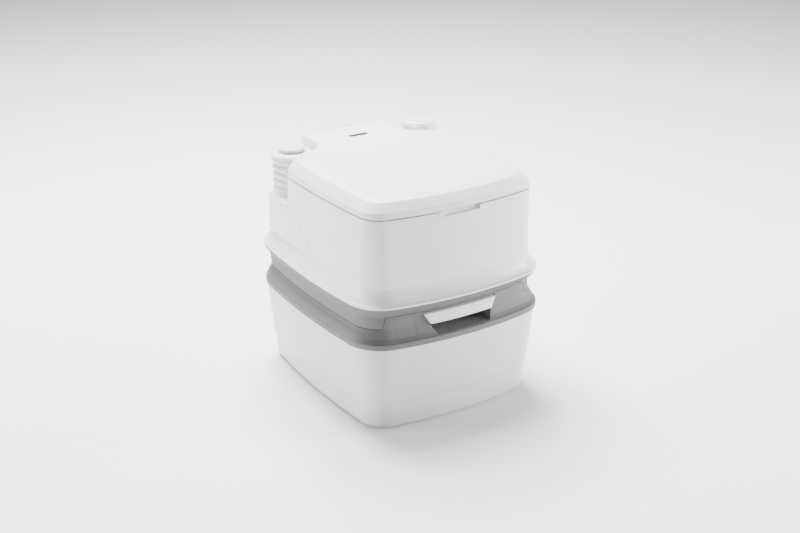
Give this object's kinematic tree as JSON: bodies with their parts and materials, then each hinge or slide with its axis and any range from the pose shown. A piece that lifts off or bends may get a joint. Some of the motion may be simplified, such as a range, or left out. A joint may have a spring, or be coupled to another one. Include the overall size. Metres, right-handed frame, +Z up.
{
  "type": "portable cassette toilet",
  "caption": "Portable two-tank toilet: upper flush-water tank with bowl, seat, lid and bellows pump on a lower waste tank with pull valve and swivel spout.",
  "frame": {"origin": "centre of the outer box, on the floor that the waste tank stands on", "axes": "+Z up, +X to the right as seen by someone facing the front, the front faces -Y and the hinge is at +Y"},
  "size_m": [0.3904, 0.447, 0.418],
  "materials": {
    "white_shell": "moulded, satin",
    "white_moulding": "moulded, satin",
    "seat_white": "moulded, gloss",
    "lid_white": "moulded, satin",
    "bowl_white": "moulded, gloss",
    "bellows_white": "soft moulded",
    "tank_pale": "blow moulded, satin",
    "tank_grey": "moulded, fine grain",
    "window_grey": "moulded, fine grain",
    "spout_pale": "moulded",
    "hose_pale": "extruded",
    "grey_moulding": "moulded",
    "dark_moulding": "moulded",
    "blade_pale": "moulded",
    "badge_dark": "moulded",
    "rubber": "moulded",
    "steel": "drawn"
  },
  "bodies": {
    "waste_tank": {"waste_tank_body": "tank_pale", "waste_tank_top": "tank_grey", "level_window": "window_grey", "valve_frame": "dark_moulding", "valve_seal": "rubber", "valve_screws": "steel", "vent_cage": "grey_moulding", "vent_spring": "steel", "spout_ring": "grey_moulding", "spout_seal": "rubber"},
    "valve": {"valve_blade": "blade_pale", "valve_handle": "white_moulding"},
    "vent": {"vent_button": "white_moulding", "vent_seal": "rubber"},
    "spout": {"pour_spout": "spout_pale"},
    "spout_gasket": {"spout_cap_gasket": "rubber"},
    "spout_cap": {"spout_cap": "grey_moulding"},
    "flush_tank": {"flush_tank_base": "tank_grey", "flush_tank_shell": "white_shell", "bowl": "bowl_white", "outlet_seal": "rubber", "rinse_hose": "hose_pale", "rinse_nozzle": "white_moulding", "dip_tube": "spout_pale", "pump_collar": "white_moulding", "pump_spring": "steel", "pump_bellows": "bellows_white", "fill_neck": "white_moulding", "hinge_pins": "steel", "latch_pin": "steel"},
    "pump": {"pump_flange": "white_moulding", "pump_button": "white_moulding"},
    "fill_gasket": {"fill_cap_gasket": "rubber"},
    "fill_cap": {"fill_cap": "white_moulding"},
    "latch": {"rear_latch": "dark_moulding"},
    "seat": {"seat": "seat_white", "seat_buffers": "rubber"},
    "lid": {"lid": "lid_white", "lid_buffers": "rubber", "lid_badge": "badge_dark"}
  },
  "joints": [
    {"name": "tank_lift", "type": "slide", "parent": "waste_tank", "child": "flush_tank", "axis": [0, 0, 1], "range_m": [0, 0.15]},
    {"name": "valve_pull", "type": "slide", "parent": "waste_tank", "child": "valve", "axis": [0, -1, 0], "range_m": [0, 0.098]},
    {"name": "vent_press", "type": "slide", "parent": "waste_tank", "child": "vent", "axis": [0, 0, -1], "range_m": [0, 0.004], "stiffness_N_per_m": 300, "springref_m": -0.003, "deforming": ["vent_spring"]},
    {"name": "spout_swing", "type": "hinge", "parent": "waste_tank", "child": "spout", "pos_m": [-0.072, 0.158, 0.151], "axis": [0, 0, 1], "range_deg": [0, 100]},
    {"name": "spout_cap_pull", "type": "slide", "parent": "spout", "child": "spout_gasket", "axis": [1, 0, 0], "range_m": [0, 0.024]},
    {"name": "spout_cap_turn", "type": "hinge", "parent": "spout_gasket", "child": "spout_cap", "pos_m": [0.08, 0.158, 0.151], "axis": [1, 0, 0], "range_deg": [0, 360]},
    {"name": "pump_press", "type": "slide", "parent": "flush_tank", "child": "pump", "axis": [0, 0, -1], "range_m": [0, 0.032], "stiffness_N_per_m": 250, "springref_m": -0.012, "deforming": ["pump_bellows", "pump_spring"]},
    {"name": "fill_cap_lift", "type": "slide", "parent": "flush_tank", "child": "fill_gasket", "axis": [0, 0, 1], "range_m": [0, 0.06]},
    {"name": "fill_cap_turn", "type": "hinge", "parent": "fill_gasket", "child": "fill_cap", "pos_m": [0.14, 0.144, 0.39], "axis": [0, 0, 1], "range_deg": [0, 360]},
    {"name": "latch_swing", "type": "hinge", "parent": "flush_tank", "child": "latch", "pos_m": [0, 0.1995, 0.215], "axis": [1, 0, 0], "range_deg": [0, 70]},
    {"name": "seat_hinge", "type": "hinge", "parent": "flush_tank", "child": "seat", "pos_m": [0, 0.172, 0.396], "axis": [-1, 0, 0], "range_deg": [0, 92]},
    {"name": "lid_hinge", "type": "hinge", "parent": "seat", "child": "lid", "pos_m": [0, 0.172, 0.396], "axis": [-1, 0, 0], "range_deg": [0, 92]}
  ]
}
